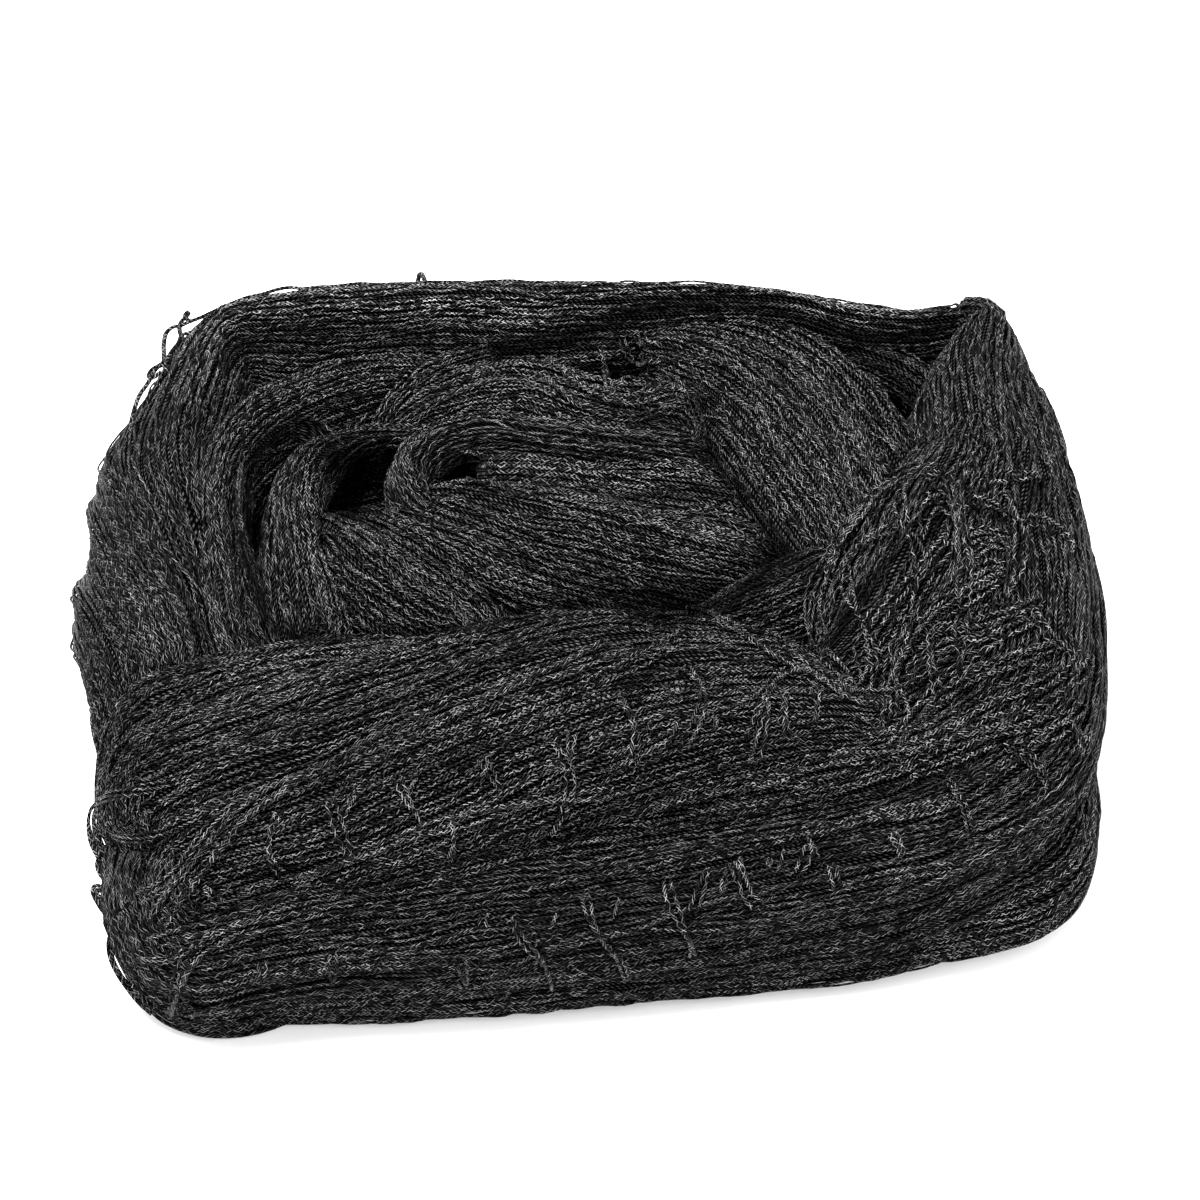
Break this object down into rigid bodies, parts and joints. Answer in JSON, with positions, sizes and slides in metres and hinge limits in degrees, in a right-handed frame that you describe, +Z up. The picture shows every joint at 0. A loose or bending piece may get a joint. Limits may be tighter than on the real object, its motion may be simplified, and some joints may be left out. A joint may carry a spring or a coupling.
{
  "type": "bird netting",
  "caption": "Black bird netting of fine knitted twine, pulled shut into a soft rope, then wound and folded into one loose bundle.",
  "frame": {"origin": "centre of the bundle's box, at the surface it rests on", "axes": "+X along the bundle's length, to the right of its long front roll; +Y from the front roll towards the thin back edge; +Z up"},
  "size_m": [0.2817, 0.226, 0.0865],
  "materials": {
    "netting": "matt knitted twine with a faint plastic sheen"
  },
  "bodies": {
    "root": {"net_bundle": "netting"}
  },
  "joints": []
}
